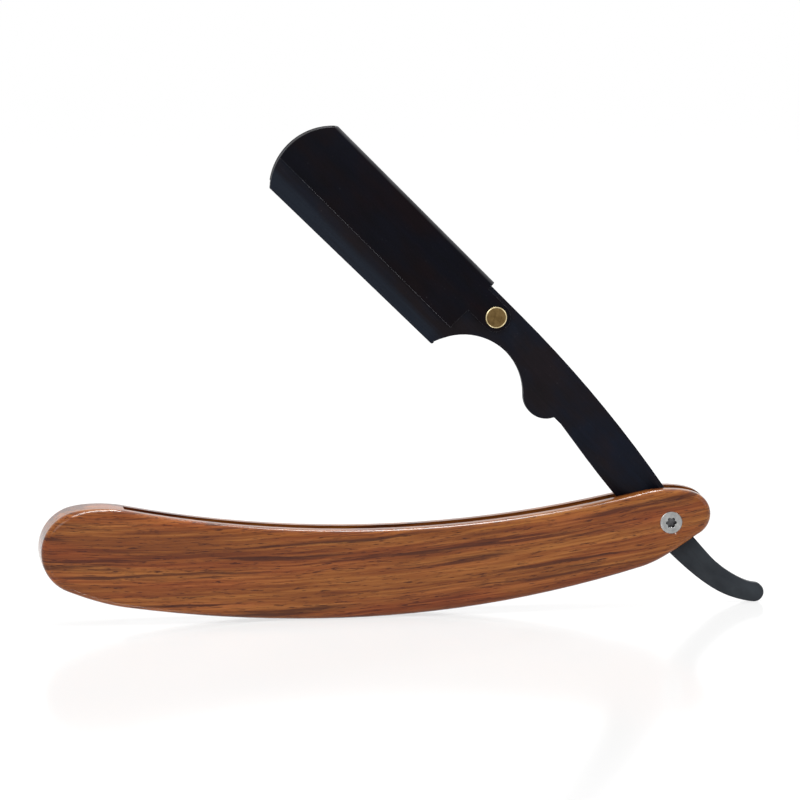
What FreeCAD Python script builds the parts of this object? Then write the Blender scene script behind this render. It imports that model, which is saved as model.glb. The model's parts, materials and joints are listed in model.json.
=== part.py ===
import FreeCAD, Part
import math
import os

from FreeCAD import Placement, Rotation, Vector

# Straight razor with a folding blade holder for half double-edge blades, in millimetres.
# It stands on the belly of its wooden handle and on the end of its tail.
# +X runs from the handle's butt towards its pivot, +Y from the front face to the back, +Z up.
# The origin is on that surface, under the middle of the razor.
# The handle is drawn about the pivot axis. The leaf (tang, blade holder and tail) is drawn
# about the same axis with its spine level and its tip towards -X, then turned by leafAngle.

doc = FreeCAD.newDocument("razor")

drivingSizes = [
    # stance
    ("pivotPlace", 0.0),            # along X, set further down from the razor's own box
    ("standHeight", 19.05),         # pivot axis above the surface
    ("leafAngle", 45.95),           # leaf turned up from level, degrees
    # tang and blade carrier, with the leaf level
    ("plateThickness", 1.8),
    ("rivetDistance", 59.83),       # rivet to pivot, along the leaf
    ("rivetRise", 4.74),
    ("holderReach", 59.47),         # rivet to tip
    ("spineRise", 9.85),            # outside of the fold, above the leaf's centre line
    ("edgeDropHeel", 9.4),
    ("edgeDropTip", 10.2),
    ("heelReach", 5.32),            # rivet to the heel of the edge
    ("heelCorner", 0.75),
    ("tipRadius", 13.8),
    ("tipDrop", 0.7),
    ("notchReach", 7.12),           # rivet to the middle of the finger notch
    ("notchDrop", 12.6),
    ("notchRadius", 13.5),
    ("bumpSpacing", 13.4),          # middle of the notch to the bump behind it
    ("bumpRadius", 5.2),
    ("ledgeLength", 2.5),
    ("backStart", 56.0),            # where the back starts to fall towards the pivot
    ("backEnd", 5.6),
    ("eyeRadius", 4.4),
    ("eyeUnder", 0.6),              # extra width below the eye
    ("tailReach", 19.3),            # centre of the tail's round end, past the axis as it stands
    ("tailEndRadius", 2.1),
    ("bevelWidth", 3.6),
    ("bevelDepth", 1.2),
    # cover folded from sheet
    ("coverSheet", 0.5),
    ("frontGap", 0.04),             # carrier to the front wall
    ("bladeGap", 0.12),             # carrier to the back wall, where the blade lies
    ("spineGap", 0.46),
    ("coverFoldRound", 0.85),
    ("stepDrop", 3.9),              # lower edge of the front wall
    ("backWallDrop", 8.9),
    ("foldEndReach", 5.68),         # rivet to the end of the fold
    ("tabRadius", 3.2),
    ("tipInset", 0.05),
    # rivet and blade pegs
    ("rivetDiameter", 2.6),
    ("rivetClearance", 0.04),
    ("rivetHeadDiameter", 4.75),
    ("rivetHeadHeight", 0.3),
    ("rivetRim", 0.3),
    ("rivetDish", 0.08),
    ("rivetSeat", 0.02),
    ("pegDiameter", 2.0),
    ("pegSpacing", 29.0),
    ("pegDrop", 0.6),
    ("pegProud", 0.08),
    ("fitClearance", 0.01),         # radial, pieces pressed into the carrier
    # handle
    ("handleThickness", 10.4),
    ("slotClearance", 0.2),         # the rivet's heads between the scales, both sides together
    ("slotEndClearance", 1.3),      # tip to wedge, folded
    ("wedgeReach", 7.8),            # inner face of the wedge to the centre of the round butt
    ("waistHeight", 19.45),         # lowest point of the top edge, above the surface
    ("waistDistance", 64.5),
    ("topCurveRadius", 266.0),
    ("bellyDistance", 73.0),        # where the belly touches the surface
    ("bellyPivotRadius", 245.0),
    ("bellyButtRadius", 290.0),
    ("pivotCapDistance", 1.2),      # centre of the round pivot end, past the axis
    ("easeReach", 8.0),             # from the centre of a round end to where its easing starts
    ("buttTurn", 22.0),             # how far round the end the easing runs, degrees
    ("buttEase", 1.4),              # by how much the eased end's radius is smaller
    ("buttLift", 0.2),              # and by how much it lies higher
    ("pivotTurn", 30.0),
    ("pivotEase", 2.77),
    ("pivotLift", 0.95),
    ("scaleRound", 1.7),
    # pivot hardware
    ("barrelDiameter", 4.0),
    ("screwDiameter", 2.5),
    ("headDiameter", 5.1),
    ("headSink", 0.1),              # heads lie this far below the wood
    ("pinClearance", 0.03),         # radial, tang on barrel
    ("drillClearance", 0.05),       # radial, wood on barrel
    ("threadClearance", 0.02),
    ("barrelShort", 0.05),          # barrel's end short of the screw's head
    ("lobeAcross", 2.4),            # six-lobe recess, across the points
    ("lobeWaist", 1.75),
    ("recessDepth", 0.9),
    ("recessFloor", 0.9),           # metal left under the barrel's recess
    ("washerDiameter", 7.0),
    ("washerClearance", 0.05),
]

# sizes that follow from the driving ones
workedSizes = [
    ("tipReach", "=rivetDistance + holderReach"),
    ("foldEndDistance", "=rivetDistance + foldEndReach"),
    ("heelDistance", "=rivetDistance + heelReach"),
    ("notchDistance", "=rivetDistance - notchReach"),
    ("pegCentreDistance", "=(foldEndDistance + tipReach) / 2"),
    ("frontStack", "=plateThickness / 2 + frontGap + coverSheet + rivetSeat"),
    ("backStack", "=plateThickness / 2 + bladeGap + coverSheet + rivetSeat"),
    ("slotWidth", "=frontStack + backStack + 2 * rivetHeadHeight + slotClearance"),
    ("wedgeDistance", "=tipReach + slotEndClearance"),
    ("buttCapDistance", "=wedgeDistance + wedgeReach"),
]

sheet = doc.addObject("Spreadsheet::Sheet", "sizes")
for row, (alias, value) in enumerate(drivingSizes + workedSizes, start=1):
    sheet.set("A%d" % row, alias)
    sheet.set("B%d" % row, str(value))
    sheet.setAlias("B%d" % row, alias)
doc.recompute()


def mm(alias):
    return float(sheet.get(alias))


def bind(item, **expressions):
    for name, expression in expressions.items():
        item.setExpression(name.replace("__", "."), expression)


def point(x, z):
    return Vector(x, z, 0)


def line(start, end):
    return Part.LineSegment(start, end)


def closed(corners):
    return [line(start, end) for start, end in zip(corners, corners[1:] + corners[:1])]


def curve(points, startTangent, endTangent):
    spline = Part.BSplineCurve()
    spline.interpolate(points, InitialTangent=startTangent, FinalTangent=endTangent)
    return spline


def circle(centre, radius):
    return Part.Circle(centre, Vector(0, 0, 1), radius)


def newBody(name):
    body = doc.addObject("PartDesign::Body", name)
    body.Label = name
    return body


def newSketch(body, name, geometry, role="XZ_Plane"):
    sketch = body.newObject("Sketcher::SketchObject", body.Name + "_" + name)
    plane = [item for item in body.Origin.OriginFeatures if item.Role == role][0]
    sketch.AttachmentSupport = (plane, [""])
    sketch.MapMode = "FlatFace"
    sketch.addGeometry(geometry, False)
    return sketch


def newFeature(body, kind, name, profile):
    feature = body.newObject("PartDesign::" + kind, body.Name + "_" + name)
    feature.Profile = profile
    return feature


def pickEdges(shape, test):
    return ["Edge%d" % number for number, edge in enumerate(shape.Edges, start=1) if test(edge)]


def dressEdges(body, kind, name, base, edges):
    feature = body.newObject("PartDesign::" + kind, body.Name + "_" + name)
    feature.Base = (base, edges)
    return feature


def edgeInPlane(edge, y):
    box = edge.BoundBox
    return abs(box.YMin - y) < 1e-4 and abs(box.YMax - y) < 1e-4


# ---- handle outline: one hollow top curve, two belly curves and two round ends, eased together ----

topCentre = point(-mm("waistDistance"), mm("waistHeight") - mm("standHeight") + mm("topCurveRadius"))
bellyPoint = point(-mm("bellyDistance"), -mm("standHeight"))


def onCircle(centre, radius, degrees):
    turn = math.radians(degrees)
    return centre + point(radius * math.cos(turn), radius * math.sin(turn))


def lowerPlace(centre, radius, x):
    """Place at x on the lower half of a circle."""
    return point(x, centre.y - math.sqrt(radius ** 2 - (x - centre.x) ** 2))


def roundEnd(x, bellyRadius):
    """Circle at x that touches the top curve from below and the belly curve from inside."""
    bellyCentre = bellyPoint + point(0, bellyRadius)
    topRadius = mm("topCurveRadius")
    # the two tangency conditions, subtracted, leave radius = base + slope * z
    total = 2 * (topRadius + bellyRadius)
    across = (x - topCentre.x) ** 2 - (x - bellyCentre.x) ** 2
    upright = topCentre.y ** 2 - bellyCentre.y ** 2
    base = (across + upright - topRadius ** 2 + bellyRadius ** 2) / total
    slope = -2 * (topCentre.y - bellyCentre.y) / total
    # (x - topCentre.x)^2 + (z - topCentre.y)^2 = (topRadius + base + slope * z)^2
    a = 1 - slope ** 2
    b = -2 * topCentre.y - 2 * slope * (topRadius + base)
    c = (x - topCentre.x) ** 2 + topCentre.y ** 2 - (topRadius + base) ** 2
    z = (-b - math.sqrt(b * b - 4 * a * c)) / (2 * a)
    return point(x, z), base + slope * z


def easedEnd(x, side, bellyRadius, turn, ease, lift):
    """An end of the handle, at +X for side 1: where it leaves the top and the belly, and its curves."""
    centre, radius = roundEnd(x, bellyRadius)
    centre += point(side * ease, lift)
    radius -= ease
    bellyCentre = bellyPoint + point(0, bellyRadius)
    start = x - side * mm("easeReach")
    top = lowerPlace(topCentre, mm("topCurveRadius"), start)
    belly = lowerPlace(bellyCentre, bellyRadius, start)
    crownTurn = 90 - side * turn
    crown = onCircle(centre, radius, crownTurn)
    under = onCircle(centre, radius, -crownTurn)
    outward = point(topCentre.y - top.y, top.x - topCentre.x) * side
    inward = point(bellyCentre.y - belly.y, belly.x - bellyCentre.x) * -side
    crownWay = onCircle(point(0, 0), 1, crownTurn - side * 90)
    underWay = onCircle(point(0, 0), 1, -crownTurn - side * 90)
    return top, belly, [
        curve([top, crown], outward, crownWay),
        Part.Arc(crown, centre + point(side * radius, 0), under),
        curve([under, belly], underWay, inward),
    ]


def handleOutline():
    buttSizes = [mm(alias) for alias in ("bellyButtRadius", "buttTurn", "buttEase", "buttLift")]
    pivotSizes = [mm(alias) for alias in ("bellyPivotRadius", "pivotTurn", "pivotEase", "pivotLift")]
    buttTop, buttBelly, butt = easedEnd(-mm("buttCapDistance"), -1, *buttSizes)
    pivotTop, pivotBelly, pivotEnd = easedEnd(mm("pivotCapDistance"), 1, *pivotSizes)
    waist = topCentre - point(0, mm("topCurveRadius"))

    def belly(end, radius):
        middle = lowerPlace(bellyPoint + point(0, radius), radius, (end.x + bellyPoint.x) / 2)
        return Part.Arc(end, middle, bellyPoint)

    return [
        Part.Arc(pivotTop, waist, buttTop),
        *butt,
        belly(buttBelly, mm("bellyButtRadius")),
        belly(pivotBelly, mm("bellyPivotRadius")),
        *pivotEnd,
    ]


def buildScale(name, side):
    """A scale on one side of the slot: side is 1 in front, -1 behind."""
    body = newBody(name)
    hole = circle(point(0, 0), mm("barrelDiameter") / 2 + mm("drillClearance"))
    sketch = newSketch(body, "outline", handleOutline() + [hole])
    bind(sketch, AttachmentOffset__Base__z="%d * sizes.slotWidth / 2" % side)
    pad = newFeature(body, "Pad", "board", sketch)
    pad.Reversed = side < 0
    bind(pad, Length="(sizes.handleThickness - sizes.slotWidth) / 2")
    doc.recompute()

    outer = -side * mm("handleThickness") / 2
    rim = pickEdges(pad.Shape, lambda edge: edgeInPlane(edge, outer) and not edge.Closed)
    rounded = dressEdges(body, "Fillet", "round", pad, rim)
    bind(rounded, Radius="sizes.scaleRound")
    doc.recompute()

    mouth = pickEdges(rounded.Shape, lambda edge: edgeInPlane(edge, outer) and edge.Closed)
    sink = dressEdges(body, "Chamfer", "countersink", rounded, mouth)
    bind(sink, Size="(sizes.headDiameter - sizes.barrelDiameter) / 2 + sizes.headSink")
    return body


def buildWedge():
    """Spacer glued between the scales at the butt, flush with their outline."""
    body = newBody("end_wedge")
    pad = newFeature(body, "Pad", "board", newSketch(body, "outline", handleOutline()))
    pad.SideType = "Symmetric"
    bind(pad, Length="sizes.slotWidth")
    near = -mm("wedgeDistance")
    far = mm("buttCapDistance")
    reach = mm("standHeight") + mm("waistHeight")
    corners = [point(near, -reach), point(far, -reach), point(far, reach), point(near, reach)]
    cut = newFeature(body, "Pocket", "slot_end", newSketch(body, "opening", closed(corners)))
    cut.Type = "ThroughAll"
    cut.SideType = "Symmetric"
    return body


# ---- pivot hardware, turned about its own Z axis with the head's face at Z = 0 ----

def lobeOutline():
    """Six-lobe recess: the radius swings between its two sizes six times round."""
    mean = (mm("lobeAcross") + mm("lobeWaist")) / 4
    swing = (mm("lobeAcross") - mm("lobeWaist")) / 4
    steps = 36
    points = []
    for step in range(steps):
        turn = 2 * math.pi * step / steps
        radius = mean + swing * math.cos(6 * turn)
        points.append(point(radius * math.cos(turn), radius * math.sin(turn)))
    lobes = Part.BSplineCurve()
    lobes.interpolate(points, PeriodicFlag=True)
    return [lobes]


def turnedBody(name, profile):
    """A body turned from a profile of (radius, height) points about the Z axis."""
    body = newBody(name)
    corners = [point(radius, height) for radius, height in profile]
    sketch = newSketch(body, "profile", closed(corners))
    turned = newFeature(body, "Revolution", "turned", sketch)
    turned.ReferenceAxis = (sketch, ["V_Axis"])
    turned.Angle = 360
    doc.recompute()
    recess = newFeature(body, "Pocket", "recess", newSketch(body, "lobes", lobeOutline(), "XY_Plane"))
    bind(recess, Length="sizes.recessDepth")
    return body


def buildScrew():
    head = mm("headDiameter") / 2
    shank = mm("screwDiameter") / 2
    length = mm("handleThickness") - 2 * (mm("headSink") + mm("recessDepth") + mm("recessFloor"))
    profile = [(0, 0), (head, 0), (shank, shank - head), (shank, -length), (0, -length)]
    return turnedBody("pivot_screw", profile)


def buildBarrel():
    head = mm("headDiameter") / 2
    tube = mm("barrelDiameter") / 2
    bore = mm("screwDiameter") / 2 + mm("threadClearance")
    screwHead = mm("headDiameter") / 2 - mm("screwDiameter") / 2
    length = mm("handleThickness") - 2 * mm("headSink") - screwHead - mm("barrelShort")
    boreEnd = mm("recessDepth") + mm("recessFloor")
    profile = [(0, 0), (head, 0), (tube, tube - head), (tube, -length), (bore, -length)]
    profile += [(bore, -boreEnd), (0, -boreEnd)]
    return turnedBody("pivot_barrel", profile)


def buildWasher(name):
    """Ring between the tang and one scale, as a cylinder with a bored hole."""
    disc = doc.addObject("Part::Cylinder", name + "_disc")
    bore = doc.addObject("Part::Cylinder", name + "_bore")
    bind(disc, Radius="sizes.washerDiameter / 2")
    bind(bore, Radius="sizes.barrelDiameter / 2 + sizes.drillClearance")
    for item in (disc, bore):
        bind(item, Height="(sizes.slotWidth - sizes.plateThickness) / 2 - sizes.washerClearance")
        bind(item, Placement__Base__z="(sizes.plateThickness + sizes.washerClearance) / 2")
    ring = doc.addObject("Part::Cut", name)
    ring.Label = name
    ring.Base = disc
    ring.Tool = bore
    return ring


# ---- leaf: tang, blade carrier and tail, in the leaf's own level frame ----

tipCentre = point(mm("tipRadius") - mm("tipReach"), -mm("tipDrop"))
notchCentre = point(-mm("notchDistance"), -mm("notchDrop"))
rivetCentre = point(-mm("rivetDistance"), mm("rivetRise"))
carrierTop = mm("spineRise") - mm("coverSheet") - mm("spineGap")


def tipPoint(z, inset=0.0):
    radius = mm("tipRadius") - inset
    return point(tipCentre.x - math.sqrt(radius ** 2 - (z - tipCentre.y) ** 2), z)


def leafFromStanding(x, z):
    """A place given as the razor stands, about the pivot, seen in the leaf's level frame."""
    turn = math.radians(mm("leafAngle"))
    return point(x * math.cos(turn) - z * math.sin(turn), x * math.sin(turn) + z * math.cos(turn))


def carrierOutline():
    corner = mm("heelCorner")
    edgeHeel = point(-mm("heelDistance") - corner, -mm("edgeDropHeel"))
    edgeTip = tipPoint(-mm("edgeDropTip"), mm("tipInset"))
    tipTop = tipPoint(carrierTop, mm("tipInset"))

    # finger notch and the bump behind it, two tangent circles
    notchRadius = mm("notchRadius")
    notchRise = edgeHeel.y + corner - notchCentre.y
    notchStart = notchCentre + point(-math.sqrt(notchRadius ** 2 - notchRise ** 2), notchRise)
    heelMiddle = (edgeHeel + notchStart) * 0.5 + point(corner, -corner) * 0.27
    reach = notchRadius + mm("bumpRadius")
    across = mm("bumpSpacing")
    bumpCentre = notchCentre + point(across, math.sqrt(reach ** 2 - across ** 2))
    notchEnd = notchCentre + (bumpCentre - notchCentre) * (notchRadius / reach)
    bumpEnd = onCircle(bumpCentre, mm("bumpRadius"), -26)
    ledge = bumpEnd + point(mm("ledgeLength"), 0)

    # tail, between the underside of the eye and its own round end
    eye = mm("eyeRadius")
    centre = leafFromStanding(mm("tailReach"), mm("tailEndRadius") - mm("standHeight"))
    tailTurn = 40
    tailUnder = onCircle(centre, mm("tailEndRadius"), tailTurn - 90)
    tailOver = onCircle(centre, mm("tailEndRadius"), tailTurn + 90)
    tailSlope = onCircle(point(0, 0), 1, tailTurn)
    underside = [ledge, point(-13, -eye), point(4, -eye - mm("eyeUnder"))]
    underside += [centre + point(-9.6, -6.3), centre + point(-3.6, -4.6), tailUnder]
    upperside = [tailOver, centre + point(-5.1, -0.2), centre + point(-11.8, -1.25), point(8, 1.15)]
    upperside.append(onCircle(point(0, 0), eye, tailTurn))

    # back of the tang: level over the eye, then an arc that runs out level into the spine
    eyeTop = point(0, eye)
    backEnd = point(-mm("backEnd"), eye)
    backStart = point(-mm("backStart"), carrierTop)
    run = backEnd.x - backStart.x
    backRadius = (run ** 2 + (carrierTop - eye) ** 2) / (2 * (carrierTop - eye))
    backCentre = backStart - point(0, backRadius)
    backMiddle = backCentre + point(run / 2, math.sqrt(backRadius ** 2 - run ** 2 / 4))
    return [
        Part.Arc(edgeHeel, heelMiddle, notchStart),
        Part.Arc(notchStart, notchCentre + point(0, notchRadius), notchEnd),
        Part.Arc(notchEnd, onCircle(bumpCentre, mm("bumpRadius"), -90), bumpEnd),
        line(bumpEnd, ledge),
        curve(underside, point(1, -0.15), tailSlope),
        Part.Arc(tailUnder, onCircle(centre, mm("tailEndRadius"), tailTurn), tailOver),
        curve(upperside, tailSlope * -1, onCircle(point(0, 0), 1, tailTurn + 90)),
        Part.Arc(upperside[-1], onCircle(point(0, 0), eye, (tailTurn + 90) / 2), eyeTop),
        line(eyeTop, backEnd),
        Part.Arc(backEnd, backMiddle, backStart),
        line(backStart, tipTop),
        Part.Arc(tipTop, tipPoint(tipCentre.y, mm("tipInset")), edgeTip),
        line(edgeTip, edgeHeel),
    ]


def pegCentres():
    halfSpacing = mm("pegSpacing") / 2
    return [point(-mm("pegCentreDistance") + side * halfSpacing, -mm("pegDrop")) for side in (-1, 1)]


def buildCarrier():
    body = newBody("blade_carrier")
    holes = [circle(point(0, 0), mm("barrelDiameter") / 2 + mm("pinClearance"))]
    holes.append(circle(rivetCentre, mm("rivetDiameter") / 2 + mm("fitClearance")))
    holes += [circle(centre, mm("pegDiameter") / 2 + mm("fitClearance")) for centre in pegCentres()]
    sketch = newSketch(body, "outline", carrierOutline() + holes)
    pad = newFeature(body, "Pad", "plate", sketch)
    pad.SideType = "Symmetric"
    bind(pad, Length="sizes.plateThickness")
    doc.recompute()

    # bevel along the front of the edge, which thins the carrier over the blade
    front = -mm("plateThickness") / 2
    beside = front - mm("bevelDepth")
    bottom = -mm("edgeDropTip")
    below = bottom - mm("bevelDepth")
    corners = [point(beside, bottom + mm("bevelWidth")), point(front, bottom + mm("bevelWidth"))]
    corners += [point(front + mm("bevelDepth"), bottom), point(front + mm("bevelDepth"), below)]
    corners.append(point(beside, below))
    bevel = newFeature(body, "Pocket", "bevel", newSketch(body, "bevel_line", closed(corners), "YZ_Plane"))
    bevel.Type = "ThroughAll"
    bevel.SideType = "Symmetric"
    return body


def buildCover():
    """Channel folded from sheet: a short front wall, a fold along the spine and a long back wall."""
    body = newBody("cover_channel")
    spine = mm("spineRise")
    foldEnd = point(-mm("foldEndDistance"), spine)
    tabTop = rivetCentre + point(0, mm("tabRadius"))
    tabBottom = rivetCentre - point(0, mm("tabRadius"))
    shoulder = point(-mm("foldEndDistance"), tabBottom.y)
    heelBottom = point(-mm("foldEndDistance"), -mm("backWallDrop"))
    tipBottom = tipPoint(-mm("backWallDrop"))
    tipSpine = tipPoint(spine)
    outline = [
        line(foldEnd, point(foldEnd.x, tabTop.y)),
        line(point(foldEnd.x, tabTop.y), tabTop),
        Part.Arc(tabTop, rivetCentre + point(mm("tabRadius"), 0), tabBottom),
        line(tabBottom, shoulder),
        line(shoulder, heelBottom),
        line(heelBottom, tipBottom),
        Part.Arc(tipBottom, tipPoint(tipCentre.y), tipSpine),
        line(tipSpine, foldEnd),
        circle(rivetCentre, mm("rivetDiameter") / 2 + mm("rivetClearance")),
    ]
    pad = newFeature(body, "Pad", "block", newSketch(body, "outline", outline))
    pad.SideType = "Two sides"
    bind(pad, Length="sizes.plateThickness / 2 + sizes.frontGap + sizes.coverSheet")
    bind(pad, Length2="sizes.plateThickness / 2 + sizes.bladeGap + sizes.coverSheet")
    doc.recompute()

    def isFoldEdge(edge):
        box = edge.BoundBox
        level = abs(box.ZMin - spine) < 1e-4 and abs(box.ZMax - spine) < 1e-4
        return level and edge.Length > mm("holderReach") / 2

    fold = dressEdges(body, "Fillet", "fold", pad, pickEdges(pad.Shape, isFoldEdge))
    bind(fold, Radius="sizes.coverFoldRound")

    # the space the carrier and the blade lie in
    inside = spine - mm("coverSheet")
    near = rivetCentre.x + mm("tabRadius") * 2
    far = -mm("tipReach") - mm("tabRadius")
    below = -mm("backWallDrop") - mm("tabRadius")
    corners = [point(near, inside), point(far, inside), point(far, below), point(near, below)]
    channel = newFeature(body, "Pocket", "channel", newSketch(body, "space", closed(corners)))
    channel.SideType = "Two sides"
    bind(channel, Length="sizes.plateThickness / 2 + sizes.bladeGap")
    bind(channel, Length2="sizes.plateThickness / 2 + sizes.frontGap")

    # the front wall stops at a step, above which it covers the carrier
    corners = [point(near, -mm("stepDrop")), point(far, -mm("stepDrop")), point(far, below), point(near, below)]
    step = newFeature(body, "Pocket", "step", newSketch(body, "step_line", closed(corners)))
    step.Type = "ThroughAll"
    step.Reversed = True
    return body


def buildRivet():
    """Brass rivet with a flat head on each side, its rim chamfered and its face dished."""
    shank = doc.addObject("Part::Cylinder", "rivet_shank")
    bind(shank, Radius="sizes.rivetDiameter / 2", Height="sizes.frontStack + sizes.backStack")
    bind(shank, Placement__Base__z="-sizes.backStack")
    solids = [shank]
    dishes = []
    for label, side in (("front", 1), ("back", -1)):
        seat = "%d * sizes.%sStack" % (side, label)
        head = doc.addObject("Part::Cone", "rivet_%s_head" % label)
        bind(head, Height="sizes.rivetHeadHeight", Radius1="sizes.rivetHeadDiameter / 2")
        bind(head, Radius2="sizes.rivetHeadDiameter / 2 - sizes.rivetRim * 0.6")
        dish = doc.addObject("Part::Cylinder", "rivet_%s_dish" % label)
        bind(dish, Height="sizes.rivetDish", Radius="sizes.rivetHeadDiameter / 2 - sizes.rivetRim")
        for item in (head, dish):
            if side < 0:
                item.Placement = Placement(Vector(), Rotation(Vector(1, 0, 0), 180))
        top = "%s + %d * (sizes.rivetHeadHeight - sizes.rivetDish)" % (seat, side)
        bind(head, Placement__Base__z=seat)
        bind(dish, Placement__Base__z=top)
        solids.append(head)
        dishes.append(dish)
    whole = doc.addObject("Part::MultiFuse", "rivet_whole")
    whole.Shapes = solids
    hollows = doc.addObject("Part::MultiFuse", "rivet_hollows")
    hollows.Shapes = dishes
    rivet = doc.addObject("Part::Cut", "swivel_rivet")
    rivet.Label = "swivel_rivet"
    rivet.Base = whole
    rivet.Tool = hollows
    return rivet


def buildPeg(name):
    """Stud flush with the carrier's front and just proud of its back, to locate the blade."""
    peg = doc.addObject("Part::Cylinder", name)
    peg.Label = name
    bind(peg, Radius="sizes.pegDiameter / 2", Height="sizes.plateThickness + sizes.pegProud")
    return peg


# ---- assembly ----

def placeAtPivot(piece, rotation, axial="0"):
    """Set a piece at the pivot. axial is its own shift along Y."""
    piece.Placement = Placement(Vector(), rotation)
    bind(piece, Placement__Base__x="sizes.pivotPlace", Placement__Base__z="sizes.standHeight")
    bind(piece, Placement__Base__y=axial)


def placeOnLeaf(piece, rotation, distance, rise, axial="0"):
    """Set a piece whose own origin lies at (-distance, rise) in the leaf's level frame."""
    piece.Placement = Placement(Vector(), rotation)
    turn = "sizes.leafAngle"
    x = "sizes.pivotPlace - (%s) * cos(%s) + (%s) * sin(%s)" % (distance, turn, rise, turn)
    z = "sizes.standHeight + (%s) * sin(%s) + (%s) * cos(%s)" % (distance, turn, rise, turn)
    bind(piece, Placement__Base__x=x, Placement__Base__y=axial, Placement__Base__z=z)


level = Rotation()
leafTurn = Rotation(Vector(0, 1, 0), mm("leafAngle"))
facingFront = Rotation(Vector(1, 0, 0), 90)
facingBack = Rotation(Vector(1, 0, 0), -90)

pieces = {}
for name, side in (("front_scale", 1), ("back_scale", -1)):
    pieces[name] = buildScale(name, side)
    placeAtPivot(pieces[name], level)
pieces["end_wedge"] = buildWedge()
placeAtPivot(pieces["end_wedge"], level)

pieces["pivot_screw"] = buildScrew()
placeAtPivot(pieces["pivot_screw"], facingFront, "-sizes.handleThickness / 2 + sizes.headSink")
pieces["pivot_barrel"] = buildBarrel()
placeAtPivot(pieces["pivot_barrel"], facingBack, "sizes.handleThickness / 2 - sizes.headSink")
for name, rotation in (("front_washer", facingFront), ("back_washer", facingBack)):
    pieces[name] = buildWasher(name)
    placeAtPivot(pieces[name], rotation)

pieces["blade_carrier"] = buildCarrier()
placeAtPivot(pieces["blade_carrier"], leafTurn)
pieces["cover_channel"] = buildCover()
placeAtPivot(pieces["cover_channel"], leafTurn)
pieces["swivel_rivet"] = buildRivet()
placeOnLeaf(pieces["swivel_rivet"], facingFront, "sizes.rivetDistance", "sizes.rivetRise")
for name, side in (("tip_peg", 1), ("heel_peg", -1)):
    pieces[name] = buildPeg(name)
    distance = "sizes.pegCentreDistance + %d * sizes.pegSpacing / 2" % side
    placeOnLeaf(pieces[name], facingBack, distance, "-sizes.pegDrop", "-sizes.plateThickness / 2")
doc.recompute()

# the origin lies under the middle of the razor's box, to a tenth of a millimetre
whole = Part.makeCompound([piece.Shape for piece in pieces.values()]).optimalBoundingBox(True, False)
sheet.set(sheet.getCellFromAlias("pivotPlace"), "%.1f" % (-(whole.XMin + whole.XMax) / 2))
doc.recompute()

for item in doc.Objects:
    if "Invalid" in item.State or "Error" in item.State:
        raise RuntimeError("failed: %s %s" % (item.Name, item.State))
for name, piece in pieces.items():
    if piece.Shape.isNull() or not piece.Shape.isValid():
        raise RuntimeError("bad shape: " + name)

os.makedirs("parts", exist_ok=True)
for name, piece in pieces.items():
    piece.Shape.exportStep("parts/%s.step" % name)
    box = piece.Shape.optimalBoundingBox(True, False)
    print("%-14s %9.2f mm3  x %7.2f %7.2f  y %6.2f %6.2f  z %6.2f %6.2f" % (
        name, piece.Shape.Volume, box.XMin, box.XMax, box.YMin, box.YMax, box.ZMin, box.ZMax))
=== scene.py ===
import json
import math

import bmesh
import bpy
import numpy as np
from mathutils import Matrix, Vector


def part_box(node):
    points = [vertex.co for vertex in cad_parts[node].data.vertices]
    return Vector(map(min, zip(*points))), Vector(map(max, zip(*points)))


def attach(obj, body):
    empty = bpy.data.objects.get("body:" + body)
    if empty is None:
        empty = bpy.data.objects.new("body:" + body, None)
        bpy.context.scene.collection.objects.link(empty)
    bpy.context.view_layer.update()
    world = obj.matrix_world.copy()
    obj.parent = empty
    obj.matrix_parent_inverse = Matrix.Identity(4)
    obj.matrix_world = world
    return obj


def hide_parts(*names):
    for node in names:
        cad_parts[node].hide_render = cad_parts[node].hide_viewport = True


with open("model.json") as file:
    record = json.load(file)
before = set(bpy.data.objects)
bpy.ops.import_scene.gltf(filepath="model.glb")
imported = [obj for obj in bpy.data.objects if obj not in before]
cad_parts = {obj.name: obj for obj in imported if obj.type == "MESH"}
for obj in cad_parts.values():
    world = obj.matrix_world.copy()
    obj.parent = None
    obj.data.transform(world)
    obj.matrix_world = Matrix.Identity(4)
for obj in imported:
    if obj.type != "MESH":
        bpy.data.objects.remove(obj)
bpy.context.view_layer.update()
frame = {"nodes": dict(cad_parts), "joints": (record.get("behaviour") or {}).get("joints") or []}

# Straight razor: rosewood scales, blackened steel leaf and cover, brass rivet, steel pivot screw.
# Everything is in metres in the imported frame; the leaf is turned up about the pivot by leafAngle.

joints = {joint["name"]: Vector(joint["pos_m"]) for joint in frame["joints"]}
pivot = joints["blade_fold"]
rivetSpot = joints["cover_swing"]
leafAngle = math.radians(45.95)


# small helpers for node trees

def newMaterial(name):
    material = bpy.data.materials.new(name)
    material.use_nodes = True
    tree = material.node_tree
    return material, tree, tree.nodes["Principled BSDF"]


def setSockets(node, values):
    for socket, value in values.items():
        node.inputs[socket].default_value = value


def addNode(tree, kind, links=None, sockets=None, **settings):
    node = tree.nodes.new("ShaderNode" + kind)
    for name, value in settings.items():
        setattr(node, name, value)
    setSockets(node, sockets or {})
    for socket, source in (links or {}).items():
        tree.links.new(source, node.inputs[socket])
    return node


def mathNode(tree, operation, first, second=None):
    node = tree.nodes.new("ShaderNodeMath")
    node.operation = operation
    for index, value in enumerate((first, second)):
        if value is None:
            continue
        if isinstance(value, (int, float)):
            node.inputs[index].default_value = value
        else:
            tree.links.new(value, node.inputs[index])
    return node.outputs[0]


def times(tree, first, second):
    return mathNode(tree, "MULTIPLY", first, second)


def weighted(tree, first, share, second):
    # share of the first value and the rest of the second
    return mathNode(tree, "ADD", times(tree, first, share), times(tree, second, 1.0 - share))


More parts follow.
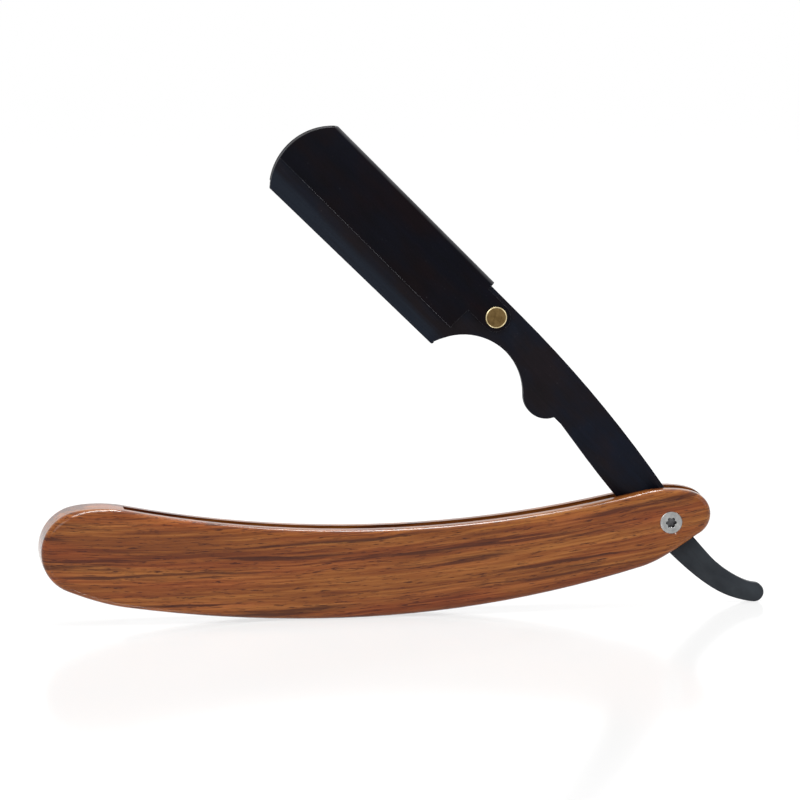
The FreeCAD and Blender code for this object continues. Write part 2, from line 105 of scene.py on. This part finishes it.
def fromAxis(tree, first, second):
    # distance from an axis: the root of the sum of both squares
    squares = mathNode(tree, "ADD", mathNode(tree, "POWER", first, 2.0), mathNode(tree, "POWER", second, 2.0))
    return mathNode(tree, "SQRT", squares)


def separate(tree, vector):
    return addNode(tree, "SeparateXYZ", {"Vector": vector}).outputs


def centredOn(tree, centre):
    place = addNode(tree, "TexCoord").outputs["Object"]
    return addNode(tree, "Mapping", {"Vector": place}, {"Location": tuple(-centre)}).outputs[0]


def noise(tree, vector, detail=3.0, roughness=0.55, distortion=0.0, scale=1.0):
    values = {"Scale": scale, "Detail": detail, "Roughness": roughness, "Distortion": distortion}
    return addNode(tree, "TexNoise", {"Vector": vector}, values).outputs[0]


def streaks(tree, vector, scale, *settings):
    # noise drawn out by an uneven scale; settings are detail, roughness and distortion
    drawn = addNode(tree, "Mapping", {"Vector": vector}, {"Scale": scale}).outputs[0]
    return noise(tree, drawn, *settings)


def spread(tree, value, low, high, toLow=0.0, toHigh=1.0):
    sockets = {"From Min": low, "From Max": high, "To Min": toLow, "To Max": toHigh}
    return addNode(tree, "MapRange", {"Value": value}, sockets).outputs[0]


def colourRamp(tree, value, stops):
    node = addNode(tree, "ValToRGB", {"Fac": value})
    ramp = node.color_ramp
    while len(ramp.elements) < len(stops):
        ramp.elements.new(0.5)
    for element, (position, colour) in zip(ramp.elements, stops):
        element.position = position
        element.color = (*colour, 1)
    return node.outputs[0]


def blendColour(tree, factor, first, second, kind="MIX"):
    node = addNode(tree, "Mix", data_type="RGBA", blend_type=kind)
    for socket, value in ((0, factor), (6, first), (7, second)):
        if isinstance(value, (int, float)):
            node.inputs[socket].default_value = value
        elif isinstance(value, tuple):
            node.inputs[socket].default_value = (*value, 1)
        else:
            tree.links.new(value, node.inputs[socket])
    return node.outputs[2]


def mixShader(tree, factor, first, second):
    node = tree.nodes.new("ShaderNodeMixShader")
    if isinstance(factor, float):
        node.inputs[0].default_value = factor
    else:
        tree.links.new(factor, node.inputs[0])
    tree.links.new(first.outputs[0], node.inputs[1])
    tree.links.new(second.outputs[0], node.inputs[2])
    return node


def bump(tree, shader, height, strength, distance):
    node = addNode(tree, "Bump", {"Height": height}, {"Strength": strength, "Distance": distance})
    tree.links.new(node.outputs[0], shader.inputs["Normal"])


# small helpers for objects

def newObject(name, mesh, materials):
    for material in materials:
        mesh.materials.append(material)
    piece = bpy.data.objects.new(name, mesh)
    bpy.context.scene.collection.objects.link(piece)
    return piece


def standIn(piece, body, node):
    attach(piece, body)
    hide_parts(node)


# rosewood

wood = {
    "straightX": -0.045,            # where the grain runs level
    "curveHeight": 0.572,           # centre that the grain bends round, above the surface
    "curveRadius": 0.55,
    "waver": 0.0012,                # how far the grain wanders across itself
    "streak": (0.036, 0.0060, 0.0015),
    "heart": (0.100, 0.0225, 0.0035),
    "body": (0.178, 0.0500, 0.0078),
    "pale": (0.290, 0.1050, 0.0210),
    "driftTint": (0.92, 0.46, 0.60),
    "bodyPlace": 0.45,              # between heart at 0 and pale at 1
    # scale per metre along, through and across the grain, then detail, roughness, distortion
    "waverNoise": ((48, 90, 170), 2.0, 0.5),
    "figureNoise": ((11, 60, 190), 3.0, 0.5, 0.4),
    "stripeNoise": ((21, 150, 600), 5.0, 0.62, 0.25),
    "lineNoise": ((50, 520, 1900), 5.0, 0.65, 0.1),
    "poreNoise": ((380, 2600, 5600), 2.0, 0.5),
    "driftNoise": ((24, 60, 260), 2.0),
    "figureShare": 0.42,            # of the colour; the fine lines have the rest
    "toneRange": (0.38, 0.62),
    "stripeRange": (0.53, 0.61),
    "stripeBreaks": (0.30, 0.55, 0.55, 1.0),
    "poreRange": (0.60, 0.66),
    "driftRange": (0.45, 0.68),
    "stripeStrength": 0.88,
    "poreStrength": 0.85,
    "driftStrength": 0.5,
    "roughness": (0.3, 0.7, 0.46, 0.60),
    "lacquer": {"Coat Weight": 1.0, "Coat Roughness": 0.11, "Coat IOR": 1.3, "Specular IOR Level": 0.04},
    "lineRelief": 0.35,             # height of the fine lines beside the pores' depth of 1
    "bumpStrength": 0.35,
    "poreDepth": 0.00006,
}


def bentGrain(tree):
    # along and across the grain: angle and radius about a far centre above, with a slow waver
    place = addNode(tree, "TexCoord").outputs["Object"]
    x, y, z = separate(tree, place)
    across = mathNode(tree, "SUBTRACT", x, wood["straightX"])
    drop = mathNode(tree, "SUBTRACT", wood["curveHeight"], z)
    along = times(tree, mathNode(tree, "ARCTAN2", across, drop), wood["curveRadius"])
    depth = mathNode(tree, "SUBTRACT", fromAxis(tree, across, drop), wood["curveRadius"])
    waver = mathNode(tree, "SUBTRACT", streaks(tree, place, *wood["waverNoise"]), 0.5)
    depth = mathNode(tree, "ADD", depth, times(tree, waver, wood["waver"]))
    return addNode(tree, "CombineXYZ", {"X": along, "Y": y, "Z": depth}).outputs[0]


def rosewood():
    material, tree, shader = newMaterial("rosewood")
    grain = bentGrain(tree)
    layers = ("figureNoise", "stripeNoise", "lineNoise", "poreNoise", "driftNoise")
    figure, stripes, lines, pores, drift = (streaks(tree, grain, *wood[layer]) for layer in layers)
    tone = spread(tree, weighted(tree, figure, wood["figureShare"], lines), *wood["toneRange"])
    colour = colourRamp(tree, tone, [
        (0.0, wood["heart"]), (wood["bodyPlace"], wood["body"]), (1.0, wood["pale"])])
    # dark heartwood stripes, broken up by the fine lines
    breaks = spread(tree, lines, *wood["stripeBreaks"])
    stripeMask = times(tree, spread(tree, stripes, *wood["stripeRange"]), breaks)
    colour = blendColour(tree, times(tree, stripeMask, wood["stripeStrength"]), colour, wood["streak"])
    # thin dark vessels in short strokes
    poreMask = spread(tree, pores, *wood["poreRange"])
    colour = blendColour(tree, times(tree, poreMask, wood["poreStrength"]), colour, wood["streak"])
    # slow drift towards red
    driftMask = times(tree, spread(tree, drift, *wood["driftRange"]), wood["driftStrength"])
    colour = blendColour(tree, driftMask, colour, wood["driftTint"], "MULTIPLY")
    tree.links.new(colour, shader.inputs["Base Color"])
    tree.links.new(spread(tree, lines, *wood["roughness"]), shader.inputs["Roughness"])
    setSockets(shader, wood["lacquer"])
    height = mathNode(tree, "SUBTRACT", times(tree, lines, wood["lineRelief"]), poreMask)
    bump(tree, shader, height, wood["bumpStrength"], wood["poreDepth"])
    return material


# blackened steel; places along and across the leaf are measured from the pivot, leaf level

steelLook = {
    "tang": {"cool": (0.0036, 0.0052, 0.0115), "warm": (0.0070, 0.0046, 0.0066), "specular": 0.08},
    "cover": {"cool": (0.0022, 0.0023, 0.0054), "warm": (0.0044, 0.0021, 0.0034), "specular": 0.055},
    # lighter colour for the real rubbed specks and for the painted highlight along the fold
    "wearAndSheen": (0.085, 0.085, 0.09),
    "roughness": (0.50, 0.34),      # in the dark and in the light places of the tone
    # scale per metre along, through and across the leaf, then detail and roughness
    "brushingNoise": ((60, 1500, 5200), 3.0, 0.6),
    "cloudNoise": ((130, 130, 240), 4.0, 0.6),
    "hueNoise": ((60, 60, 140), 3.0, 0.55),
    "speckNoise": {"detail": 2.0, "roughness": 0.5, "scale": 2600.0},
    # noise from the first value to the second, and for breaks the strength at each of them
    "toneRange": (0.36, 0.64),
    "hueRange": (0.40, 0.60),
    "speckRange": (0.70, 0.78),
    "speckClouds": (0.5, 0.62),
    "foldBreaks": (0.35, 0.65, 0.5, 1.0),
    "tailReflectionBreaks": (0.3, 0.7, 0.55, 1.0),
    "bevelReflectionBreaks": (0.3, 0.7, 0.6, 1.0),
    "darkest": (0.55, 0.55, 0.55),
    "speckStrength": 0.35,
    "speckRelief": 0.5,             # height of the specks beside the brushing's depth of 1
    "bumpStrength": 0.18,
    "brushingDepth": 0.00003,
    "foldSheen": (0.00905, 0.00975),     # height where the painted highlight on the fold starts and is full
    "tailReflection": (0.030, 0.035, 0.041),   # painted reflection: the tail drawn lighter
    "tailReflectionReach": (0.001, 0.009),
    "bevelReflection": (0.0072, 0.0108, 0.0185),     # painted reflection: the bevel along the edge drawn lighter and bluer
    "bevelReflectionHeight": (-0.0060, -0.0073),
    "bevelReflectionReach": (-0.06419, -0.06819),
}


def leafPlace(tree):
    # place about the pivot with the leaf turned back level
    centred = centredOn(tree, pivot)
    return addNode(tree, "Mapping", {"Vector": centred}, {"Rotation": (0, -leafAngle, 0)}).outputs[0]


def blackened(name, part):
    material, tree, shader = newMaterial(name)
    look = steelLook[part]
    place = leafPlace(tree)
    layers = ("brushingNoise", "cloudNoise", "hueNoise")
    brushing, cloud, hue = (streaks(tree, place, *steelLook[layer]) for layer in layers)
    speck = noise(tree, place, **steelLook["speckNoise"])
    tone = weighted(tree, brushing, 0.5, cloud)
    toneRange = steelLook["toneRange"]
    base = blendColour(tree, spread(tree, hue, *steelLook["hueRange"]), look["cool"], look["warm"])
    shade = colourRamp(tree, spread(tree, tone, *toneRange), [(0.0, steelLook["darkest"]), (1.0, (1, 1, 1))])
    base = blendColour(tree, 1.0, base, shade, "MULTIPLY")
    along, _, above = separate(tree, place)
    if part == "cover":
        # painted highlight: the fold along the spine drawn lighter, broken by the clouds
        breaks = spread(tree, cloud, *steelLook["foldBreaks"])
        fold = times(tree, spread(tree, above, *steelLook["foldSheen"]), breaks)
        base = blendColour(tree, fold, base, steelLook["wearAndSheen"])
    else:
        # painted reflection: the tail drawn lighter, broken by the clouds
        breaks = spread(tree, cloud, *steelLook["tailReflectionBreaks"])
        tail = times(tree, spread(tree, along, *steelLook["tailReflectionReach"]), breaks)
        base = blendColour(tree, tail, base, steelLook["tailReflection"])
        # painted reflection: the bevel along the edge drawn lighter and bluer, in brushed streaks
        beyond = spread(tree, along, *steelLook["bevelReflectionReach"])
        bevel = times(tree, spread(tree, above, *steelLook["bevelReflectionHeight"]), beyond)
        streaked = times(tree, bevel, spread(tree, brushing, *steelLook["bevelReflectionBreaks"]))
        base = blendColour(tree, streaked, base, steelLook["bevelReflection"])
    # rubbed specks where the finish is thinnest
    clouds = spread(tree, cloud, *steelLook["speckClouds"])
    rubbed = times(tree, spread(tree, speck, *steelLook["speckRange"]), clouds)
    base = blendColour(tree, times(tree, rubbed, steelLook["speckStrength"]), base, steelLook["wearAndSheen"])
    tree.links.new(base, shader.inputs["Base Color"])
    tree.links.new(spread(tree, tone, *toneRange, *steelLook["roughness"]), shader.inputs["Roughness"])
    setSockets(shader, {"Specular IOR Level": look["specular"]})
    height = mathNode(tree, "ADD", brushing, times(tree, speck, steelLook["speckRelief"]))
    bump(tree, shader, height, steelLook["bumpStrength"], steelLook["brushingDepth"])
    return material


edgeLook = {
    "leafDark": (0.008, 0.009, 0.012),
    "leafBright": (0.048, 0.052, 0.062),
    # the lighter cover edges are partly rubbed metal and partly painted highlight
    "coverDark": (0.035, 0.037, 0.043),
    "coverBright": (0.130, 0.135, 0.150),
    "stepHighlight": (0.300, 0.310, 0.335),    # painted highlight: a light line along the cover's lower edge
    "stepHeight": -0.0039,
    "stepFade": (0.0005, 0.0003),
    "tipReach": (-0.1113, -0.1133),         # painted shade: towards the holder's end the cover's edges are drawn dark
    "tipShadeStrength": 0.8,
    "patchNoise": {"detail": 4.0, "roughness": 0.6, "scale": 420.0},
    "patchRange": (0.35, 0.65),
    "stepBreaks": (0.3, 0.6, 0.5, 1.0),
    "roughness": (0.45, 0.3),
    "specular": 0.25,
}


def edgeWearAndSheen(part):
    # edges drawn lighter, partly rubbed metal and partly painted highlight; a painted highlight along the
    # cover's step, and painted shade round its tip
    material, tree, shader = newMaterial(part + "Edge")
    patch = noise(tree, addNode(tree, "TexCoord").outputs["Object"], **edgeLook["patchNoise"])
    mottle = spread(tree, patch, *edgeLook["patchRange"])
    base = colourRamp(tree, mottle, [(0.0, edgeLook[part + "Dark"]), (1.0, edgeLook[part + "Bright"])])
    if part == "cover":
        along, _, above = separate(tree, leafPlace(tree))
        # painted highlight along the cover's step, broken by the patches
        apart = mathNode(tree, "ABSOLUTE", mathNode(tree, "SUBTRACT", above, edgeLook["stepHeight"]))
        breaks = spread(tree, patch, *edgeLook["stepBreaks"])
        wearAndSheen = times(tree, spread(tree, apart, *edgeLook["stepFade"]), breaks)
        base = blendColour(tree, wearAndSheen, base, edgeLook["stepHighlight"])
        # painted shade: the edges drawn dark towards the tip
        near = spread(tree, along, *edgeLook["tipReach"], 0.0, edgeLook["tipShadeStrength"])
        base = blendColour(tree, near, base, edgeLook["leafDark"])
    tree.links.new(base, shader.inputs["Base Color"])
    roughness = spread(tree, patch, *edgeLook["patchRange"], *edgeLook["roughness"])
    tree.links.new(roughness, shader.inputs["Roughness"])
    setSockets(shader, {"Specular IOR Level": edgeLook["specular"]})
    return material


# turned metals: brass and steel; a higher tarnish gives more patches and fewer rings

turnedLook = {
    "rivetFace": {"dull": (0.085, 0.052, 0.019), "bright": (0.178, 0.116, 0.046),
                  "roughness": (0.5, 0.34), "tarnish": 0.7, "axis": rivetSpot},
    "rivetRim": {"dull": (0.42, 0.32, 0.15), "bright": (0.85, 0.74, 0.48),
                 "roughness": (0.34, 0.2), "tarnish": 0.5, "axis": rivetSpot},
    "screwSteel": {"dull": (0.20, 0.205, 0.21), "bright": (0.46, 0.46, 0.45),
                   "roughness": (0.30, 0.16), "tarnish": 0.45, "axis": pivot},
    # painted shade: the recess in darker steel than the head
    "recessShadeSteel": {"dull": (0.03, 0.03, 0.032), "bright": (0.11, 0.11, 0.115),
                    "roughness": (0.4, 0.25), "tarnish": 0.7, "axis": pivot},
    "washerBrass": {"dull": (0.42, 0.32, 0.15), "bright": (0.62, 0.5, 0.27),
                    "roughness": (0.42, 0.28), "tarnish": 0.6, "axis": pivot},
    "pegSteel": {"dull": (0.20, 0.205, 0.21), "bright": (0.45, 0.45, 0.45),
                 "roughness": (0.45, 0.3), "tarnish": 0.7, "axis": pivot},
}
turnedSurface = {                   # the same on all of them
    "ringScale": 9000.0,
    "ringNoise": {"detail": 3.0, "roughness": 0.6},
    "patchNoise": {"detail": 4.0, "roughness": 0.6, "distortion": 0.4, "scale": 850.0},
    "toneRange": (0.34, 0.66),
    "bumpStrength": 0.25,
    "ringDepth": 0.00002,
}


def turnedMetal(name, look):
    # faint rings about the axis, patches of tarnish and fine dirt
    material, tree, shader = newMaterial(name)
    centred = centredOn(tree, look["axis"])
    x, _, z = separate(tree, centred)
    radius = times(tree, fromAxis(tree, x, z), turnedSurface["ringScale"])
    outwards = addNode(tree, "CombineXYZ", {"X": radius}).outputs[0]
    rings = noise(tree, outwards, **turnedSurface["ringNoise"])
    patch = noise(tree, centred, **turnedSurface["patchNoise"])
    tone = weighted(tree, patch, look["tarnish"], rings)
    toneRange = turnedSurface["toneRange"]
    base = colourRamp(tree, spread(tree, tone, *toneRange), [(0.0, look["dull"]), (1.0, look["bright"])])
    tree.links.new(base, shader.inputs["Base Color"])
    tree.links.new(spread(tree, tone, *toneRange, *look["roughness"]), shader.inputs["Roughness"])
    setSockets(shader, {"Metallic": 1.0})
    bump(tree, shader, rings, turnedSurface["bumpStrength"], turnedSurface["ringDepth"])
    return material


print("materials")
rosewoodLook = rosewood()
tangLook = blackened("blackenedTang", "tang")
coverLook = blackened("blackenedCover", "cover")
leafEdge = edgeWearAndSheen("leaf")
coverEdge = edgeWearAndSheen("cover")
metals = {name: turnedMetal(name, look) for name, look in turnedLook.items()}


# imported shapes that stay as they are, with their finish on them

packedFinish = {
    "front_scale": rosewoodLook,
    "back_scale": rosewoodLook,
    "end_wedge": rosewoodLook,
    "front_washer": metals["washerBrass"],
    "back_washer": metals["washerBrass"],
    "tip_peg": metals["pegSteel"],
    "heel_peg": metals["pegSteel"],
}

print("handle, washers and pegs")
for node, look in packedFinish.items():
    for slot in frame["nodes"][node].material_slots:
        slot.material = look


# leaf and cover: copies of the imported shapes with eased edges, partly rubbed and partly painted lighter as
# highlight

easing = {
    "blade_carrier": {"width": 0.00012, "materials": (tangLook, leafEdge),
                      "body": "leaf", "slot": "black_steel"},
    "cover_channel": {"width": 0.00015, "materials": (coverLook, coverEdge),
                      "body": "cover", "slot": "black_cover"},
}
easingCut = {
    "mergeDistance": 1e-7,
    "flatAngle": math.radians(0.3),
    "edgeAngle": math.radians(32),
    "segments": 2,
}


def easedCopy(node, look):
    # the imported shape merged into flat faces, its edges then broken by a small bevel of their own material
    mesh = bpy.data.meshes.new(node + "_eased")
    shape = bmesh.new()
    shape.from_mesh(frame["nodes"][node].data)
    bmesh.ops.remove_doubles(shape, verts=shape.verts, dist=easingCut["mergeDistance"])
    bmesh.ops.dissolve_limit(shape, angle_limit=easingCut["flatAngle"], verts=shape.verts, edges=shape.edges)
    bmesh.ops.recalc_face_normals(shape, faces=shape.faces)
    for face in shape.faces:
        face.smooth = True
        face.material_index = 0
    shape.to_mesh(mesh)
    shape.free()
    piece = newObject(node + "_eased", mesh, look["materials"])
    bevel = piece.modifiers.new("easedEdges", "BEVEL")
    bevel.width = look["width"]
    bevel.segments = easingCut["segments"]
    bevel.limit_method = "ANGLE"
    bevel.angle_limit = easingCut["edgeAngle"]
    bevel.material = 1
    bevel.harden_normals = True
    standIn(piece, look["body"], node)


print("leaf and cover")
for node, look in easing.items():
    easedCopy(node, look)


# turned pieces: a profile carried round an axis

sharpAngle = math.radians(28)       # edges above it stay sharp


def turnedPiece(name, centre, side, radii, heights, bands, materials, body, node):
    # ring i lies at heights[i] along the axis (side -1 faces the front), and its points are the centre
    # plus radii[i] times the cosine and sine of the turn; the first and last ring close on the axis.
    # bands gives the material of each band between two rings
    rings, spokes = radii.shape
    turn = np.linspace(0, 2 * np.pi, spokes, endpoint=False)
    x = centre.x + radii * np.cos(turn)
    z = centre.z + radii * np.sin(turn)
    y = centre.y + side * np.repeat(np.asarray(heights)[:, None], spokes, axis=1)
    poles = [[centre.x, centre.y + side * heights[end], centre.z] for end in (0, -1)]
    points = np.concatenate([np.stack([x, y, z], axis=-1).reshape(-1, 3), poles])
    ring, spoke = np.meshgrid(np.arange(rings - 1), np.arange(spokes), indexing="ij")
    after = (spoke + 1) % spokes
    quads = np.stack([ring * spokes + spoke, ring * spokes + after,
                      (ring + 1) * spokes + after, (ring + 1) * spokes + spoke], axis=-1).reshape(-1, 4)
    first, last = rings * spokes, (rings - 1) * spokes
    spoke, after = spoke[0], after[0]
    top = np.stack([np.full(spokes, first), after, spoke], axis=-1)
    bottom = np.stack([np.full(spokes, first + 1), last + spoke, last + after], axis=-1)
    faces = quads.tolist() + top.tolist() + bottom.tolist()
    faceBands = np.repeat(np.asarray([*bands, bands[0], bands[-1]]), spokes)
    mesh = bpy.data.meshes.new(name)
    mesh.from_pydata(points.tolist(), [], faces)
    mesh.polygons.foreach_set("material_index", faceBands.astype(np.int32))
    mesh.polygons.foreach_set("use_smooth", np.ones(len(faces), dtype=bool))
    shape = bmesh.new()
    shape.from_mesh(mesh)
    bmesh.ops.recalc_face_normals(shape, faces=shape.faces)
    shape.to_mesh(mesh)
    shape.free()
    mesh.set_sharp_from_angle(angle=sharpAngle)
    standIn(newObject(name, mesh, materials), body, node)


def plainRings(profile, spokes):
    # the profile's radius all the way round each ring
    return np.repeat(np.array([radius for radius, height in profile])[:, None], spokes, axis=1)


def profileHeights(profile):
    return [height for radius, height in profile]


# the brass rivet: dished heads with a bright chamfered rim

rivet = {
    "frontFace": 0.00176,           # from the middle of the leaf
    "backFace": 0.00184,
    "headRadius": 0.002375,
    "headHeight": 0.0003,
    "shankRadius": 0.0013,
    "dish": 0.00007,
    # rings of the dish: radius, and height from its floor
    "dishRings": ((0.0006, -0.00002), (0.0012, 0.0), (0.00205, 0.00001)),
    # rings of the rim, from its lip to its chamfer: radius, and depth below the face
    "rimRings": ((0.00213, 0.00002), (0.00217, 0.0), (0.002235, 0.0),
                 (0.002325, 0.00005), (0.002375, 0.00013)),
    "headBands": [0, 0, 0, 1, 1, 1, 1, 1, 1],      # 0 is the dish, 1 the rim
    "spokes": 96,
}


def rivetHead(face):
    # from the axis outwards: dished face, rim, side and underside
    dish = face - rivet["dish"]
    under = face - rivet["headHeight"]
    rings = [(radius, dish + lift) for radius, lift in rivet["dishRings"]]
    rings += [(radius, face - drop) for radius, drop in rivet["rimRings"]]
    return rings + [(rivet["headRadius"], under), (rivet["shankRadius"], under)]


print("rivet, screw and barrel")
front = rivetHead(rivet["frontFace"])
back = [(radius, -height) for radius, height in reversed(rivetHead(rivet["backFace"]))]
rivetBands = rivet["headBands"] + [0] + rivet["headBands"][::-1]
turnedPiece("rivet_turned", rivetSpot, -1, plainRings(front + back, rivet["spokes"]),
            profileHeights(front + back), rivetBands, [metals["rivetFace"], metals["rivetRim"]],
            "leaf", "swivel_rivet")


# the pivot screw and its barrel: countersunk heads with a six-lobe recess

screw = {
    "headRadius": 0.00255,
    "shankRadius": 0.00125,
    "tubeRadius": 0.0020,
    "boreRadius": 0.00127,
    "boreTop": 0.0018,              # where the barrel's bore ends, below its face
    "lobePoint": 0.0012,
    "lobeWaist": 0.000875,
    "recessDepth": 0.0009,
    "recessMiddle": 0.45,           # inner ring of the recess's floor, as a share of the lobes
    "recessEase": (0.00006, 0.00008),   # chamfer at the foot of the recess, inwards and upwards
    "edge": 0.00007,                # chamfer at its mouth
    "endChamfer": 0.0001,
    # the crowned head: inwards from its rim, and below its face
    "crown": ((0.0007, 0.00001), (0.00042, 0.00003), (0.00022, 0.00008),
              (0.00006, 0.00015), (0.0, 0.00022)),
    "spokes": 144,
}


def lobedPiece(name, face, side, profile, node):
    # the recess comes first: its radius swings six times round between waist and point; then the
    # crowned head and the profile follow
    spokes, depth, edge = screw["spokes"], screw["recessDepth"], screw["edge"]
    turn = np.linspace(0, 2 * np.pi, spokes, endpoint=False)
    mean = (screw["lobePoint"] + screw["lobeWaist"]) / 2
    swing = (screw["lobePoint"] - screw["lobeWaist"]) / 2
    lobes = mean + swing * np.cos(6 * turn)
    inwards, upwards = screw["recessEase"]
    recess = np.stack([lobes * screw["recessMiddle"], lobes - inwards, lobes, lobes, lobes + edge])
    recessHeights = [-depth, -depth, -depth + upwards, -edge, 0.0]
    outer = [(screw["headRadius"] - inset, -drop) for inset, drop in screw["crown"]] + profile
    radii = np.concatenate([recess, plainRings(outer, spokes)])
    bands = [1, 1, 1] + [0] * (len(radii) - 4)     # 1 is the recess, in darker steel as painted shade, 0 the rest
    turnedPiece(name, Vector((pivot.x, face, pivot.z)), side, radii,
                recessHeights + profileHeights(outer), bands,
                [metals["screwSteel"], metals["recessShadeSteel"]], "handle", node)


def endedShank(radius, length):
    # below the cone of the head: a cylinder with a small chamfer at its end
    chamfer = screw["endChamfer"]
    return [(radius, radius - screw["headRadius"]), (radius, -length + chamfer), (radius - chamfer, -length)]


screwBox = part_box("pivot_screw")
screwLength = screwBox[1][1] - screwBox[0][1]
lobedPiece("screw_turned", screwBox[0][1], -1, endedShank(screw["shankRadius"], screwLength), "pivot_screw")

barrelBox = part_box("pivot_barrel")
barrelLength = barrelBox[1][1] - barrelBox[0][1]
barrelBore = [(screw["boreRadius"], -barrelLength), (screw["boreRadius"], -screw["boreTop"])]
lobedPiece("barrel_turned", barrelBox[1][1], 1, endedShank(screw["tubeRadius"], barrelLength) + barrelBore,
           "pivot_barrel")


# floor, world, lamps and camera

stand = {
    "floorRadius": 6.0,
    "rings": 12,
    "spokes": 64,
    "floorColour": (0.90, 0.90, 0.895),
    "seenColour": (0.16, 0.16, 0.159),
    "mirror": 0.21,
    "mirrorRoughness": 0.14,
    "clear": 0.70,                  # how much of the pale world behind shows through it
    "fade": (0.25, 0.90),           # beyond this the floor gives way to the world
    "worldLight": 0.42,             # on the object
    "worldSeen": 1.0,               # behind it
}


def seenRays(tree):
    # camera, glossy and transmission rays see the pale background
    path = tree.nodes.new("ShaderNodeLightPath")
    either = mathNode(tree, "MAXIMUM", path.outputs["Is Camera Ray"], path.outputs["Is Glossy Ray"])
    return mathNode(tree, "MAXIMUM", either, path.outputs["Is Transmission Ray"])


def paleFloor():
    # a soft mirror over pale paint; seen rays pass partly through it, and wholly far away
    material = bpy.data.materials.new("paleFloor")
    material.use_nodes = True
    tree = material.node_tree
    tree.nodes.clear()
    seen = seenRays(tree)
    paint = addNode(tree, "BsdfDiffuse", {
        "Color": blendColour(tree, seen, stand["floorColour"], stand["seenColour"])})
    mirror = addNode(tree, "BsdfGlossy", None, {"Color": (1, 1, 1, 1), "Roughness": stand["mirrorRoughness"]})
    clear = addNode(tree, "BsdfTransparent", {"Color": times(tree, seen, stand["clear"])})
    total = tree.nodes.new("ShaderNodeAddShader")
    tree.links.new(mixShader(tree, stand["mirror"], paint, mirror).outputs[0], total.inputs[0])
    tree.links.new(clear.outputs[0], total.inputs[1])
    place = addNode(tree, "TexCoord").outputs["Object"]
    distance = addNode(tree, "VectorMath", {"Vector": place}, operation="LENGTH").outputs["Value"]
    gone = times(tree, seen, spread(tree, distance, *stand["fade"]))
    air = addNode(tree, "BsdfTransparent", None, {"Color": (1, 1, 1, 1)})
    end = tree.nodes.new("ShaderNodeOutputMaterial")
    tree.links.new(mixShader(tree, gone, total, air).outputs[0], end.inputs[0])
    return material


def buildFloor():
    # rings of a flat disc: the radius grows with the square of the ring's number
    rings, spokes = stand["rings"], stand["spokes"]
    radius = stand["floorRadius"] * (np.arange(1, rings + 1) / rings) ** 2
    turn = np.linspace(0, 2 * np.pi, spokes, endpoint=False)
    x = np.outer(radius, np.cos(turn)).ravel()
    y = np.outer(radius, np.sin(turn)).ravel()
    points = np.concatenate([np.stack([x, y, np.zeros_like(x)], axis=-1), [[0, 0, 0]]])
    ring, spoke = np.meshgrid(np.arange(rings - 1), np.arange(spokes), indexing="ij")
    after = (spoke + 1) % spokes
    quads = np.stack([ring * spokes + spoke, (ring + 1) * spokes + spoke,
                      (ring + 1) * spokes + after, ring * spokes + after], axis=-1).reshape(-1, 4)
    fan = np.stack([np.full(spokes, rings * spokes), spoke[0], after[0]], axis=-1)
    mesh = bpy.data.meshes.new("floor")
    mesh.from_pydata(points.tolist(), [], quads.tolist() + fan.tolist())
    newObject("floor", mesh, [paleFloor()])


def buildWorld():
    world = bpy.data.worlds.new("studio")
    world.use_nodes = True
    tree = world.node_tree
    background = tree.nodes["Background"]
    background.inputs["Color"].default_value = (1, 1, 1, 1)
    strength = spread(tree, seenRays(tree), 0, 1, stand["worldLight"], stand["worldSeen"])
    tree.links.new(strength, background.inputs["Strength"])
    bpy.context.scene.world = world


lamps = {
    "strip": {"place": (-0.05, 0.02, 0.75), "size": (1.1, 0.09), "power": 9.0, "aim": (0, 0, 0.02)},
    "front": {"place": (-0.55, -0.85, 0.55), "size": (0.5, 0.5), "power": 2.6, "aim": (0, 0, 0.04)},
    "right": {"place": (0.8, -0.3, 0.5), "size": (0.4, 0.6), "power": 1.2, "aim": (0, 0, 0.04)},
}


def buildLamps():
    for name, look in lamps.items():
        data = bpy.data.lights.new(name, "AREA")
        data.shape = "RECTANGLE"
        data.size, data.size_y = look["size"]
        data.energy = look["power"]
        lamp = bpy.data.objects.new(name, data)
        bpy.context.scene.collection.objects.link(lamp)
        place = Vector(look["place"])
        aim = Vector(look["aim"]) - place
        lamp.matrix_world = Matrix.Translation(place) @ aim.to_track_quat("-Z", "Y").to_matrix().to_4x4()


view = {
    "azimuth": -7.77,
    "elevation": 9.31,
    "roll": -0.47,
    "distance": 1.6,
    "aim": (-0.0006, 0.0, 0.04744),
    "lens": 328.6,
    "sensor": 36.0,
}


def buildCamera():
    turn = math.radians(view["azimuth"])
    lift = math.radians(view["elevation"])
    roll = math.radians(view["roll"])
    away = Vector((math.sin(turn) * math.cos(lift), -math.cos(turn) * math.cos(lift), math.sin(lift)))
    level = Vector((math.cos(turn), math.sin(turn), 0))
    upright = away.cross(level)
    right = level * math.cos(roll) + upright * math.sin(roll)
    up = away.cross(right)
    data = bpy.data.cameras.new("camera")
    data.lens = view["lens"]
    data.sensor_width = view["sensor"]
    camera = bpy.data.objects.new("camera", data)
    bpy.context.scene.collection.objects.link(camera)
    turned = Matrix((right, up, away)).transposed().to_4x4()
    camera.matrix_world = Matrix.Translation(Vector(view["aim"]) + away * view["distance"]) @ turned
    bpy.context.scene.camera = camera


print("stage and camera")
buildFloor()
buildWorld()
buildLamps()
buildCamera()
bpy.context.scene.view_settings.view_transform = "Standard"
